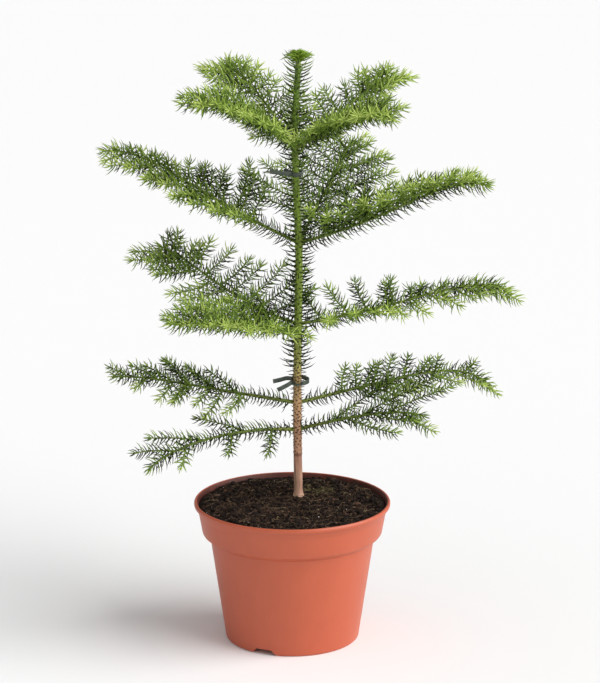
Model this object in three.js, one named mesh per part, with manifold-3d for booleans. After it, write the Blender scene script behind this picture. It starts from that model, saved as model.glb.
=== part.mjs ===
// A young Norfolk Island pine in a round plastic nursery pot.
// Millimetres, +Z up. The origin is the centre of the pot's flat underside and -Y is the front.
// Five whorls of boughs leave the trunk. Each bough is bare at first and then enters its foliage:
// one stem with twigs on both sides, all of them toothed with needles.

import * as THREE from "three";
import { mergeVertices } from "three/addons/utils/BufferGeometryUtils.js";
import Module from "manifold-3d";

const wasm = await Module();
wasm.setup();

// Clearance between pieces that touch on the real plant
const CLEARANCE = 0.3;

// Pot: thin moulded plastic, with a tapered body, a wider collar and a rolled lip
const POT_HEIGHT = 122.6;
const POT_SEGMENTS = 32;
const WALL = 1.8;
const LIP_RADIUS = 85;
const LIP_DEPTH = 4;
const LIP_ROUND = 1.2;
const COLLAR_TOP_RADIUS = 82.2;
const COLLAR_FOOT_RADIUS = 78.4;
const COLLAR_FOOT_HEIGHT = 97.2;
const SHOULDER_ROUND = 3;
const BODY_TOP_RADIUS = 71.1;
const BODY_TOP_HEIGHT = 90.3;
const FOOT_RADIUS = 58.2;
const FOOT_ROUND = 2.2;

// Underside: a hub and a foot ring stand on the ground, with a raised drain channel between them
const HUB_RADIUS = 26;
const FOOT_RING_WIDTH = 7;
const CHANNEL_HEIGHT = 5;
const CHANNEL_SLOPE = 2;
const NOTCH_WIDTH = 18;
const NOTCH_SPLAY = 3;
const NOTCH_AZIMUTH = 245;
const NOTCH_COUNT = 2;
const DRAIN_RADIUS = 3.5;
const DRAIN_CIRCLE = 39;
const DRAIN_COUNT = 6;

// Soil: peat that is level near the stem and falls a little towards the wall
const SOIL_CROWN_HEIGHT = 121.4;
const SOIL_CROWN_RADIUS = 26;
const SOIL_EDGE_HEIGHT = 118.6;

// Trunk: slightly wavy, brown and bare low down, green and needled higher up
const TRUNK_Y = 14;
const TRUNK_FOOT = SOIL_CROWN_HEIGHT + CLEARANCE;
const TRUNK_TOP = 498;
const TRUNK_COURSE = [
  [5.4, TRUNK_FOOT], [4.6, 178], [4.5, 228], [5.3, 297], [5.9, 341], [4.2, 384], [2.6, 430],
  [2.8, 457], [4.8, 490], [5.2, TRUNK_TOP],
];
const TRUNK_SIDES = 8;
const TRUNK_FOOT_RADIUS = 3.9;
const TRUNK_TOP_RADIUS = 2.4;
const FLARE = 1.5;
const FLARE_HEIGHT = 7;
const TRUNK_STEP = 14;
const TRUNK_NEEDLE_START = 232;
const TRUNK_NEEDLE_PITCH = 12;
const TRUNK_NEEDLE_BAND = 2;
const TRUNK_NEEDLE_LENGTH = 13;
const TRUNK_NEEDLE_RISE = 0.35;
const TRUNK_NEEDLES_ROUND = 3;
const WHORL_CLEAR_BELOW = 6;
const WHORL_CLEAR_ABOVE = 13;

// Leader: the flared rosette of young needles on the trunk's tip
const LEADER_HEIGHT = 12;
const LEADER_SIDES = 6;
const LEADER_ROWS = 4;
const LEADER_NEEDLE = 13;
const LEADER_NEEDLE_LOSS = 0.2;
const LEADER_LEAN = 60;
const LEADER_LEAN_LOSS = 16;
const LEADER_TIP_SHARE = 0.5;

// Ties: narrow flat bands round the trunk, each with loose tails on the left
const TIE_WIDTH = 3;
const TIE_THICKNESS = 0.9;
const TIE_TILT = 8;
const TIE_SLACK = 0.3;
const TIES = [
  { name: "tie_upper", height: 407, tails: [{ length: 22, rise: 4 }] },
  { name: "tie_lower", height: 227, tails: [{ length: 17, rise: 2 }, { length: 15, rise: -24 }] },
];

// Boughs and foliage stems
const COURSE_STEPS = 48;
const DROOP_POWER = 6;
const BOUGH_SIDES = 5;
const BOUGH_STEPS = 3;
const STEM_TIP_RADIUS = 0.9;
const STEM_SIDES = 4;
const STEM_NEEDLE_PITCH = 14;
const STEM_TUFT = 4;
const STEM_LEAD = 4;
const STEM_END = 0.965;

// Twigs and needles
const TWIG_RADIUS = 1.1;
const TWIG_TIP_RADIUS = 0.5;
const TWIG_SIDES = 3;
const TWIG_TUFT = 5;
const NEEDLE_LENGTH = 8.5;
const NEEDLE_PITCH = 14.5;
const NEEDLE_LEAN = 50;
const NEEDLE_SCATTER = 0.12;
const TWIG_SCATTER = 0.15;
const PLACE_SCATTER = 0.2;
const ANGLE_SCATTER = 8;
const FAN_DRAW = 50;
const LIFT_DRAW = 100;
const LENGTH_DRAW = 150;
const FIRST_TWIG_SHARE = 0.8;
const FIRST_TWIG_GAIN = 3;
const TWIG_TRIES = [1, 0.75, 0.5];
const SLIVER = 0.03;

// Whorls from the top down. Angles are in degrees and lengths in millimetres.
// girth: radius of the bough at the trunk. bare: share of the bough before its foliage.
// pairs: twigs on each side. twig: longest twig.
// taper: length of the last twig as a share of the first, fall: how soon the twigs shorten.
// fan: angle of the first and last twigs to the stem. lift: how far twigs rise out of the flat.
const WHORLS = {
  crown: {
    height: 428, girth: 1.4, bare: 0.14, pairs: 8, twig: 36, taper: 0.35, fall: 1,
    fan: [95, 45], lift: 15, curl: 20,
  },
  upper: {
    height: 347, girth: 1.7, bare: 0.2, pairs: 9, twig: 50, taper: 0.25, fall: 1,
    fan: [100, 50], lift: 15, curl: 20,
  },
  middle: {
    height: 276, girth: 1.7, bare: 0.14, pairs: 8, twig: 50, taper: 0.4, fall: 1,
    fan: [100, 50], lift: 15, curl: 20,
  },
  lower: {
    height: 206, girth: 1.9, bare: 0.22, pairs: 5, twig: 42, taper: 0.5, fall: 1.5,
    fan: [75, 55], lift: 0, curl: 15,
  },
  lowest: {
    height: 182, girth: 1.9, bare: 0.2, pairs: 3, twig: 50, taper: 0.5, fall: 1.5,
    fan: [75, 40], lift: 6, curl: 15,
  },
};

// Boughs: azimuth from +X towards +Y, rise at the trunk, arch along the whole length and droop at
// the tip. roll turns the spray about its stem, and sag lets its twigs hang more towards the tip.
// skew opens the fan of one side more than the other, and favour makes its outer twigs longer.
const BOUGHS = [
  {
    whorl: "crown", side: "front_left", seed: 42, azimuth: 212, length: 110,
    rise: 37, arch: -15, droop: 38, roll: -15, taper: 0.6,
  },
  {
    whorl: "crown", side: "back_left", seed: 29, azimuth: 129, length: 119,
    rise: 45, arch: -22, droop: 20, roll: -15, favour: 0.3, taper: 0.6, fan: [95, 60], lift: 8,
  },
  {
    whorl: "crown", side: "back_right", seed: 51, azimuth: 35, length: 120,
    rise: 30, arch: 0, droop: 34, roll: 10, taper: 0.6, fan: [95, 50],
  },
  {
    whorl: "crown", side: "front_right", seed: 29, azimuth: -33, length: 103,
    rise: 30, arch: -10, droop: 35, roll: 10, taper: 0.6, fan: [95, 55],
  },
  {
    whorl: "upper", side: "left", seed: 48, azimuth: 174, length: 187,
    rise: 24, arch: 15, droop: 52, roll: -22, sag: 32, skew: -10, favour: 0.5, bare: 0.22, twig: 54,
    fan: [92, 55], lift: 22,
  },
  {
    whorl: "upper", side: "right", seed: 50, azimuth: -16, length: 176,
    rise: 17, arch: 20, droop: 55, roll: 0, bare: 0.15, lift: 32,
  },
  {
    whorl: "upper", side: "back", seed: 25, azimuth: 72, length: 170,
    rise: 23, arch: 0, droop: 10, roll: 0, bare: 0.25, twig: 78, fan: [84, 52], lift: 14,
  },
  {
    whorl: "middle", side: "back_left", seed: 44, azimuth: 152, length: 150,
    rise: 10, arch: 33, droop: 35, roll: -20, skew: -8, favour: 0.3, pairs: 9, twig: 60, taper: 0.5,
    fan: [105, 78],
  },
  {
    whorl: "middle", side: "front_left", seed: 8, azimuth: 214, length: 131, height: 272,
    rise: 10, arch: 0, droop: 5, roll: -14, favour: -0.4, twig: 46, taper: 0.2, lift: 18,
  },
  {
    whorl: "middle", side: "right", seed: 53, azimuth: 4, length: 187,
    rise: 8, arch: 15, droop: 55, roll: 15, sag: 85, skew: 5, bare: 0.1, pairs: 7, twig: 50,
    taper: 0.4, fall: 0.7, fan: [124, 35], lift: 40,
  },
  {
    whorl: "lower", side: "left", seed: 20, azimuth: 168, length: 166,
    rise: 6, arch: 2, droop: 15, roll: -26, skew: 20, favour: -0.2, bare: 0.28, pairs: 5, twig: 42,
    fan: [65, 55], lift: 4,
  },
  {
    whorl: "lower", side: "right", seed: 4, azimuth: 12, length: 180,
    rise: 11, arch: 0, droop: 72, roll: 22, skew: 12, favour: -0.3, pairs: 6, twig: 40,
    fan: [68, 50],
  },
  {
    whorl: "lowest", side: "left", seed: 36, azimuth: 202, length: 142,
    rise: 9, arch: -30, droop: 20, roll: -26, skew: 15, favour: -0.3, bare: 0.17, twig: 48,
    taper: 0.4, fan: [60, 45], lift: 6,
  },
  {
    whorl: "lowest", side: "right", seed: 25, azimuth: -22, length: 120,
    rise: 20, arch: -10, droop: 25, roll: 30, favour: 0.2, bare: 0.28, pairs: 3, twig: 74,
    taper: 0.45, fan: [38, 32], lift: -5,
  },
];

const POT_FINISH = { color: 0xb9603f, roughness: 0.45, metalness: 0 };
const SOIL_FINISH = { color: 0x2a2019, roughness: 0.95, metalness: 0 };
const BARK_FINISH = { color: 0x8a6a4c, roughness: 0.8, metalness: 0 };
const BOUGH_FINISH = { color: 0x5d7a30, roughness: 0.7, metalness: 0 };
const NEEDLE_FINISH = { color: 0x55802f, roughness: 0.55, metalness: 0 };
const TIE_FINISH = { color: 0x3d473c, roughness: 0.5, metalness: 0 };

const UP = new THREE.Vector3(0, 0, 1);
const plant = new THREE.Group();

// Seeded draws, so that every build grows the same plant

function chance(draw, seed) {
  const value = Math.sin(draw * 12.9898 + seed * 78.233) * 43758.5453;
  return value - Math.floor(value);
}

function scatter(draw, seed) {
  return 2 * chance(draw, seed) - 1;
}

function radians(degrees) {
  return THREE.MathUtils.degToRad(degrees);
}

// Meshes to solids and back

function solidFrom(geometry) {
  geometry.deleteAttribute("normal");
  geometry.deleteAttribute("uv");
  const welded = mergeVertices(geometry, 1e-4);
  const corners = [];
  const index = welded.index.array;
  for (let i = 0; i < index.length; i += 3) {
    const [a, b, c] = index.slice(i, i + 3);
    if (a !== b && b !== c && c !== a) corners.push(a, b, c);
  }
  return new wasm.Manifold(new wasm.Mesh({
    numProp: 3,
    vertProperties: new Float32Array(welded.attributes.position.array),
    triVerts: new Uint32Array(corners),
  }));
}

function geometryFrom(solid) {
  const mesh = solid.getMesh();
  const geometry = new THREE.BufferGeometry();
  geometry.setAttribute("position", new THREE.BufferAttribute(mesh.vertProperties, 3));
  geometry.setIndex(new THREE.BufferAttribute(mesh.triVerts, 1));
  geometry.computeVertexNormals();
  return geometry;
}

function addPiece(name, solid, finish) {
  const mesh = new THREE.Mesh(geometryFrom(solid), new THREE.MeshStandardMaterial(finish));
  mesh.name = name;
  plant.add(mesh);
}

function turned(profile) {
  const points = profile.map(([radius, height]) => new THREE.Vector2(radius, height));
  const geometry = new THREE.LatheGeometry(points, POT_SEGMENTS);
  geometry.rotateX(Math.PI / 2);
  return solidFrom(geometry);
}

// A limb is a tube of rings along a path. Its faces may carry needles, each a pyramid on its face.

function ringFrames(path, hint) {
  return path.map((centre, i) => {
    const before = path[Math.max(i - 1, 0)];
    const after = path[Math.min(i + 1, path.length - 1)];
    const along = after.clone().sub(before).normalize();
    const top = hint.clone().addScaledVector(along, -hint.dot(along)).normalize();
    const side = along.clone().cross(top);
    return { centre, along, top, side };
  });
}

function limb({ path, radius, sides, hint, needle = () => null, pointed = false }) {
  const frames = ringFrames(path, hint);
  const ringCount = pointed ? path.length - 1 : path.length;
  const positions = [];
  const corners = [];
  const corner = (ring, k) => ring * sides + (k % sides);
  const addPoint = (point) => positions.push(point.x, point.y, point.z) / 3 - 1;

  for (let ring = 0; ring < ringCount; ring += 1) {
    const { centre, top, side } = frames[ring];
    const size = radius(ring / (path.length - 1));
    for (let k = 0; k < sides; k += 1) {
      const angle = (2 * Math.PI * (k - 0.5)) / sides;
      const point = centre.clone()
        .addScaledVector(top, size * Math.cos(angle))
        .addScaledVector(side, size * Math.sin(angle));
      addPoint(point);
    }
  }
  for (let ring = 0; ring < ringCount - 1; ring += 1) {
    for (let k = 0; k < sides; k += 1) {
      const face = [corner(ring, k), corner(ring, k + 1), corner(ring + 1, k + 1), corner(ring + 1, k)];
      const tip = needle(ring, k, frames[ring], frames[ring + 1]);
      if (tip) {
        const apex = addPoint(tip);
        face.forEach((vertex, i) => corners.push(vertex, face[(i + 1) % 4], apex));
      } else {
        corners.push(face[0], face[1], face[2], face[0], face[2], face[3]);
      }
    }
  }
  const last = ringCount - 1;
  for (let k = 1; k < sides - 1; k += 1) {
    corners.push(corner(0, 0), corner(0, k + 1), corner(0, k));
    if (!pointed) corners.push(corner(last, 0), corner(last, k), corner(last, k + 1));
  }
  if (pointed) {
    const apex = addPoint(path[path.length - 1]);
    for (let k = 0; k < sides; k += 1) corners.push(corner(last, k), corner(last, k + 1), apex);
  }
  const geometry = new THREE.BufferGeometry();
  geometry.setAttribute("position", new THREE.Float32BufferAttribute(positions, 3));
  geometry.setIndex(corners);
  return solidFrom(geometry);
}

// A needle leans forward from the middle of its face
function needleTip(frameA, frameB, angle, reach, lean) {
  const outward = frameA.top.clone().multiplyScalar(Math.cos(angle))
    .addScaledVector(frameA.side, Math.sin(angle));
  return frameA.centre.clone().lerp(frameB.centre, 0.5)
    .addScaledVector(outward, reach * Math.sin(radians(lean)))
    .addScaledVector(frameA.along, reach * Math.cos(radians(lean)));
}

// Pot

function makePot() {
  const lipFoot = POT_HEIGHT - LIP_DEPTH;
  const footInner = FOOT_RADIUS - FOOT_RING_WIDTH;
  const floorTop = CHANNEL_HEIGHT + WALL;
  const shell = turned([
    [0, 0],
    [HUB_RADIUS, 0],
    [HUB_RADIUS + CHANNEL_SLOPE, CHANNEL_HEIGHT],
    [footInner - CHANNEL_SLOPE, CHANNEL_HEIGHT],
    [footInner, 0],
    [FOOT_RADIUS - FOOT_ROUND, 0],
    [FOOT_RADIUS, FOOT_ROUND],
    [BODY_TOP_RADIUS, BODY_TOP_HEIGHT],
    [COLLAR_FOOT_RADIUS - SHOULDER_ROUND / 2, COLLAR_FOOT_HEIGHT - SHOULDER_ROUND],
    [COLLAR_FOOT_RADIUS, COLLAR_FOOT_HEIGHT],
    [COLLAR_TOP_RADIUS, lipFoot],
    [LIP_RADIUS - LIP_ROUND / 2, lipFoot],
    [LIP_RADIUS, lipFoot + LIP_ROUND],
    [LIP_RADIUS - LIP_ROUND / 4, POT_HEIGHT - LIP_ROUND],
    [LIP_RADIUS - LIP_ROUND, POT_HEIGHT],
    [COLLAR_TOP_RADIUS - WALL, POT_HEIGHT - LIP_ROUND],
    [COLLAR_FOOT_RADIUS - WALL, COLLAR_FOOT_HEIGHT],
    [BODY_TOP_RADIUS - WALL, BODY_TOP_HEIGHT],
    [FOOT_RADIUS - WALL, floorTop],
    [0, floorTop],
  ]);
  return drainHoles(footNotches(shell), floorTop);
}

// Trapezoid openings in the foot ring let the water out of the drain channel
function footNotches(shell) {
  const outline = new THREE.Shape();
  outline.moveTo(-NOTCH_WIDTH / 2 - NOTCH_SPLAY, -CHANNEL_HEIGHT);
  outline.lineTo(NOTCH_WIDTH / 2 + NOTCH_SPLAY, -CHANNEL_HEIGHT);
  outline.lineTo(NOTCH_WIDTH / 2 + NOTCH_SPLAY, 0);
  outline.lineTo(NOTCH_WIDTH / 2, CHANNEL_HEIGHT);
  outline.lineTo(-NOTCH_WIDTH / 2, CHANNEL_HEIGHT);
  outline.lineTo(-NOTCH_WIDTH / 2 - NOTCH_SPLAY, 0);
  outline.closePath();
  const depth = 2 * FOOT_RING_WIDTH;
  let cut = shell;
  for (let i = 0; i < NOTCH_COUNT; i += 1) {
    const geometry = new THREE.ExtrudeGeometry(outline, { depth, bevelEnabled: false });
    geometry.rotateX(Math.PI / 2);
    geometry.translate(0, -FOOT_RADIUS + depth - FOOT_RING_WIDTH / 2, 0);
    geometry.rotateZ(radians(NOTCH_AZIMUTH + 90 + (360 * i) / NOTCH_COUNT));
    cut = cut.subtract(solidFrom(geometry));
  }
  return cut;
}

function drainHoles(shell, floorTop) {
  let cut = shell;
  for (let i = 0; i < DRAIN_COUNT; i += 1) {
    const geometry = new THREE.CylinderGeometry(DRAIN_RADIUS, DRAIN_RADIUS, 2 * floorTop, 8);
    const angle = (2 * Math.PI * (i + 0.5)) / DRAIN_COUNT;
    geometry.rotateX(Math.PI / 2);
    geometry.translate(DRAIN_CIRCLE * Math.cos(angle), DRAIN_CIRCLE * Math.sin(angle), floorTop);
    cut = cut.subtract(solidFrom(geometry));
  }
  return cut;
}

// Soil

function makeSoil() {
  const inset = WALL + CLEARANCE;
  const floor = CHANNEL_HEIGHT + WALL + CLEARANCE;
  return turned([
    [0, floor],
    [FOOT_RADIUS - inset, floor],
    [BODY_TOP_RADIUS - inset, BODY_TOP_HEIGHT + CLEARANCE],
    [COLLAR_FOOT_RADIUS - inset, COLLAR_FOOT_HEIGHT + CLEARANCE],
    [COLLAR_TOP_RADIUS - inset - 2 * CLEARANCE, SOIL_EDGE_HEIGHT],
    [SOIL_CROWN_RADIUS, SOIL_CROWN_HEIGHT],
    [0, SOIL_CROWN_HEIGHT],
  ]);
}

// Trunk

const trunkCurve = new THREE.CatmullRomCurve3(
  TRUNK_COURSE.map(([x, z]) => new THREE.Vector3(x, TRUNK_Y, z)),
);

function trunkAt(height) {
  let low = 0;
  let high = 1;
  for (let i = 0; i < 40; i += 1) {
    const middle = (low + high) / 2;
    if (trunkCurve.getPoint(middle).z < height) low = middle;
    else high = middle;
  }
  return trunkCurve.getPoint(low);
}

function trunkRadius(height) {
  const share = (height - TRUNK_FOOT) / (TRUNK_TOP - TRUNK_FOOT);
  const flare = FLARE * Math.max(0, 1 - (height - TRUNK_FOOT) / FLARE_HEIGHT) ** 2;
  return TRUNK_FOOT_RADIUS + (TRUNK_TOP_RADIUS - TRUNK_FOOT_RADIUS) * share + flare;
}

// Needles leave room for the boughs of each whorl and for the ties
function trunkNeedleFits(height) {
  const nearWhorl = Object.values(WHORLS).some(
    (whorl) => height > whorl.height - WHORL_CLEAR_BELOW && height < whorl.height + WHORL_CLEAR_ABOVE,
  );
  const nearTie = TIES.some((tie) => Math.abs(height - tie.height) < TIE_WIDTH + TRUNK_NEEDLE_BAND);
  return !nearWhorl && !nearTie;
}

// Rings of the trunk, and which of them open a band that carries needles
function trunkRings() {
  const smooth = [TRUNK_FOOT, TRUNK_FOOT + FLARE_HEIGHT / 3, TRUNK_FOOT + FLARE_HEIGHT];
  const lastSmooth = TRUNK_NEEDLE_START - TRUNK_STEP / 2;
  for (let z = TRUNK_FOOT + FLARE_HEIGHT + TRUNK_STEP; z < lastSmooth; z += TRUNK_STEP) smooth.push(z);
  const rings = smooth.map((height) => ({ height, needled: false }));
  for (let z = TRUNK_NEEDLE_START; z < TRUNK_TOP - TRUNK_NEEDLE_BAND; z += TRUNK_NEEDLE_PITCH) {
    rings.push({ height: z, needled: trunkNeedleFits(z) });
    rings.push({ height: z + TRUNK_NEEDLE_BAND, needled: false });
  }
  rings.push({ height: TRUNK_TOP, needled: false });
  return rings;
}

function makeTrunk(growth, withNeedles) {
  const rings = trunkRings();
  const needle = (ring, k, frameA, frameB) => {
    const chosen = (TRUNK_NEEDLES_ROUND * k + ring) % TRUNK_SIDES < TRUNK_NEEDLES_ROUND;
    if (!withNeedles || !rings[ring].needled || !chosen) return null;
    const angle = (2 * Math.PI * k) / TRUNK_SIDES;
    const reach = TRUNK_NEEDLE_LENGTH * (1 + NEEDLE_SCATTER * scatter(ring, k));
    const tip = needleTip(frameA, frameB, angle, reach, 90);
    return tip.addScaledVector(UP, reach * TRUNK_NEEDLE_RISE);
  };
  return limb({
    path: rings.map(({ height }) => trunkAt(height)),
    radius: (share) => trunkRadius(rings[Math.round(share * (rings.length - 1))].height) + growth,
    sides: TRUNK_SIDES,
    hint: new THREE.Vector3(0, 1, 0),
    needle,
  });
}

function makeLeader() {
  const axis = trunkCurve.getTangent(1);
  const path = [];
  for (let row = 0; row <= LEADER_ROWS; row += 1) {
    path.push(trunkAt(TRUNK_TOP).addScaledVector(axis, CLEARANCE + (LEADER_HEIGHT * row) / LEADER_ROWS));
  }
  const needle = (ring, k, frameA, frameB) => {
    const angle = (2 * Math.PI * k) / LEADER_SIDES;
    const reach = LEADER_NEEDLE * (1 - LEADER_NEEDLE_LOSS * ring);
    return needleTip(frameA, frameB, angle, reach, LEADER_LEAN - LEADER_LEAN_LOSS * ring);
  };
  return limb({
    path,
    radius: (share) => TRUNK_TOP_RADIUS * (1 - LEADER_TIP_SHARE * share),
    sides: LEADER_SIDES,
    hint: new THREE.Vector3(0, 1, 0),
    needle,
    pointed: true,
  });
}

// Ties

function makeTie(tie) {
  const centre = trunkAt(tie.height);
  const inner = trunkRadius(tie.height) + CLEARANCE + TIE_SLACK;
  const outer = inner + TIE_THICKNESS;
  const ring = new THREE.Shape().absarc(0, 0, outer, 0, 2 * Math.PI);
  ring.holes.push(new THREE.Path().absarc(0, 0, inner, 0, 2 * Math.PI));
  const band = new THREE.ExtrudeGeometry(ring, {
    depth: TIE_WIDTH,
    bevelEnabled: false,
    curveSegments: 10,
  });
  band.translate(0, 0, -TIE_WIDTH / 2);
  let solid = solidFrom(band);
  for (const tail of tie.tails) {
    const strip = new THREE.BoxGeometry(tail.length, TIE_THICKNESS, TIE_WIDTH);
    strip.translate(-tail.length / 2, -inner - TIE_THICKNESS / 2, 0);
    strip.rotateY(radians(tail.rise));
    solid = solid.add(solidFrom(strip));
  }
  const tilt = new THREE.Matrix4().makeRotationY(radians(TIE_TILT)).setPosition(centre);
  return solid.transform(tilt.toArray());
}

// Boughs and foliage

function courseOf(bough) {
  const points = [trunkAt(bough.height)];
  const direction = (share) => {
    const rise = radians(bough.rise + bough.arch * share - bough.droop * share ** DROOP_POWER);
    const azimuth = radians(bough.azimuth);
    return new THREE.Vector3(
      Math.cos(rise) * Math.cos(azimuth),
      Math.cos(rise) * Math.sin(azimuth),
      Math.sin(rise),
    );
  };
  for (let i = 0; i < COURSE_STEPS; i += 1) {
    const step = direction((i + 0.5) / COURSE_STEPS).multiplyScalar(bough.length / COURSE_STEPS);
    points.push(points[i].clone().add(step));
  }
  const at = (share) => {
    const place = THREE.MathUtils.clamp(share, 0, 1) * COURSE_STEPS;
    const i = Math.min(Math.floor(place), COURSE_STEPS - 1);
    return points[i].clone().lerp(points[i + 1], place - i);
  };
  return { at, direction };
}

function girthAt(bough, share) {
  return bough.girth + (STEM_TIP_RADIUS - bough.girth) * share;
}

function boughEnd(bough) {
  return bough.bare - STEM_LEAD / bough.length;
}

function makeBough(bough, course, trunkSpace) {
  const end = boughEnd(bough);
  const path = [];
  for (let i = 0; i <= BOUGH_STEPS; i += 1) path.push(course.at((end * i) / BOUGH_STEPS));
  const whole = limb({
    path,
    radius: (share) => girthAt(bough, share * end),
    sides: BOUGH_SIDES,
    hint: UP,
  });
  return whole.subtract(trunkSpace);
}

function makeStem(bough, course) {
  const start = boughEnd(bough) + CLEARANCE / bough.length;
  const count = Math.round((bough.length * (1 - start)) / STEM_NEEDLE_PITCH);
  const path = [];
  for (let i = 0; i <= count; i += 1) path.push(course.at(start + ((1 - start) * i) / count));
  path.push(course.at(1).addScaledVector(course.direction(1), STEM_TUFT));
  const needle = (ring, k, frameA, frameB) => {
    const upOrDown = k % 2 === 0;
    if (!upOrDown) return null;
    const reach = NEEDLE_LENGTH * (1 + NEEDLE_SCATTER * scatter(ring + 10 * k, bough.seed));
    return needleTip(frameA, frameB, (2 * Math.PI * k) / STEM_SIDES, reach, NEEDLE_LEAN);
  };
  return limb({
    path,
    radius: (share) => girthAt(bough, start + (1 - start) * share),
    sides: STEM_SIDES,
    hint: UP,
    needle,
    pointed: true,
  });
}

function twigPath(plan, curl, part) {
  const length = plan.length * part;
  const count = Math.max(1, Math.round(length / NEEDLE_PITCH));
  const path = [plan.root];
  for (let i = 0; i <= count; i += 1) {
    const angle = radians(plan.fan - (curl * Math.min(i + 0.5, count)) / count);
    const step = plan.along.clone().multiplyScalar(Math.cos(angle))
      .addScaledVector(plan.outward, Math.sin(angle));
    path.push(path[i].clone().addScaledVector(step, i < count ? length / count : TWIG_TUFT));
  }
  return path;
}

function makeTwig(path, hint, draw, seed) {
  const needle = (ring, k, frameA, frameB) => {
    const reach = NEEDLE_LENGTH * (1 + NEEDLE_SCATTER * scatter(draw + 7 * ring + 31 * k, seed));
    return needleTip(frameA, frameB, (2 * Math.PI * k) / TWIG_SIDES, reach, NEEDLE_LEAN);
  };
  return limb({
    path,
    radius: (share) => TWIG_RADIUS + (TWIG_TIP_RADIUS - TWIG_RADIUS) * share,
    sides: TWIG_SIDES,
    hint,
    needle,
    pointed: true,
  });
}

function isClear(solid, others) {
  return others.every((other) => solid.minGap(other, 2 * CLEARANCE) > CLEARANCE);
}

// Twigs stand by turns on the left (side 1) and the right (side -1) of the stem
function twigPlan(bough, course, pair, side, draw) {
  const stagger = side > 0 ? 0 : 0.5;
  const place = (pair + stagger + PLACE_SCATTER * scatter(draw, bough.seed)) / bough.pairs;
  const share = THREE.MathUtils.clamp(place, 0, 1);
  const spot = bough.bare + (STEM_END - bough.bare) * share;
  const along = course.direction(spot);
  const azimuth = radians(bough.azimuth);
  const across = new THREE.Vector3(-Math.sin(azimuth), Math.cos(azimuth), 0).multiplyScalar(side);
  const above = along.clone().cross(across).multiplyScalar(side);
  const lift = radians(bough.lift + bough.roll * side - bough.sag * share
    + ANGLE_SCATTER * scatter(draw + LIFT_DRAW, bough.seed));
  const fan = THREE.MathUtils.lerp(bough.fan[0], bough.fan[1], share) + bough.skew * side
    + ANGLE_SCATTER * scatter(draw + FAN_DRAW, bough.seed);
  const length = bough.twig * (1 - share ** bough.fall * (1 - bough.taper))
    * Math.min(1, FIRST_TWIG_SHARE + FIRST_TWIG_GAIN * share)
    * (1 + TWIG_SCATTER * scatter(draw + LENGTH_DRAW, bough.seed))
    * (1 + bough.favour * side * share);
  return {
    root: course.at(spot),
    along,
    outward: across.clone().multiplyScalar(Math.cos(lift)).addScaledVector(above, Math.sin(lift)),
    crest: above.clone().multiplyScalar(Math.cos(lift)).addScaledVector(across, -Math.sin(lift)),
    fan,
    length,
  };
}

// A twig that would touch a neighbour is made shorter, and then left out
function makeFoliage(bough, course, stem, others) {
  let mass = stem;
  for (let draw = 0; draw < 2 * bough.pairs; draw += 1) {
    const side = draw % 2 === 0 ? 1 : -1;
    const plan = twigPlan(bough, course, Math.floor(draw / 2), side, draw);
    const twig = TWIG_TRIES
      .map((part) => makeTwig(twigPath(plan, bough.curl, part), plan.crest, draw, bough.seed))
      .find((candidate) => isClear(candidate, others));
    if (twig) mass = mass.add(twig);
  }
  return largestPiece(mass).asOriginal().simplify(SLIVER);
}

function largestPiece(solid) {
  const pieces = solid.decompose();
  return pieces.reduce((best, piece) => (piece.volume() > best.volume() ? piece : best));
}

// Assembly

addPiece("pot", makePot(), POT_FINISH);
addPiece("soil", makeSoil(), SOIL_FINISH);

const trunk = makeTrunk(0, true);
addPiece("trunk", trunk, BARK_FINISH);
const leader = makeLeader();
addPiece("leader", leader, NEEDLE_FINISH);
const ties = TIES.map(makeTie);
ties.forEach((solid, i) => addPiece(TIES[i].name, solid, TIE_FINISH));

const boughs = BOUGHS.map((bough) => {
  const sizes = { skew: 0, sag: 0, favour: 0, ...WHORLS[bough.whorl], ...bough };
  return { ...sizes, name: `${bough.whorl}_${bough.side}`, course: courseOf(sizes) };
});
const trunkSpace = makeTrunk(CLEARANCE, false);
const limbs = boughs.map((bough) => makeBough(bough, bough.course, trunkSpace));
limbs.forEach((solid, i) => addPiece(`bough_${boughs[i].name}`, solid, BOUGH_FINISH));

const stems = boughs.map((bough) => makeStem(bough, bough.course));
const grown = [];
boughs.forEach((bough, i) => {
  const otherStems = stems.filter((stem) => stem !== stems[i]);
  const others = [trunk, leader, ...ties, ...limbs, ...otherStems, ...grown];
  const foliage = makeFoliage(bough, bough.course, stems[i], others);
  grown.push(foliage);
  addPiece(`foliage_${bough.name}`, foliage, NEEDLE_FINISH);
});

export default plant;
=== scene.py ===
import math

import bpy
import numpy as np
from mathutils import Matrix, Vector, noise


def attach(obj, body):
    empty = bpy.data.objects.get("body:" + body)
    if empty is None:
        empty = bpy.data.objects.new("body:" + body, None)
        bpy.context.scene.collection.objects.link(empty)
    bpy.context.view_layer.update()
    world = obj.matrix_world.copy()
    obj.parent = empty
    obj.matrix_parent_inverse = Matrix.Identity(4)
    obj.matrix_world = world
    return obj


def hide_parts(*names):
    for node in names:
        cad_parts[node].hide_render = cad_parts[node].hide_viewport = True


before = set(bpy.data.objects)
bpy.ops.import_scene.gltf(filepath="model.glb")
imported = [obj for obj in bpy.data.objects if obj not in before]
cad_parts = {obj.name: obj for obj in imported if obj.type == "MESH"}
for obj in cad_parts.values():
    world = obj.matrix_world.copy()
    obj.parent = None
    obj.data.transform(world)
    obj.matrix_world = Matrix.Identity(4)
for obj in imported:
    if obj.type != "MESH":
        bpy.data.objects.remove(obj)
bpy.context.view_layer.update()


# Nursery pot: one thin injection-moulded shell of terracotta-coloured plastic, made to stack.
# A wider collar and a rolled lip stiffen its mouth, and a hub and a foot ring carry its weight.
# Water drains through the floor into a channel and leaves by two notches in the foot ring.
MM = 0.001
POT_SIDES = 144
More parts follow.
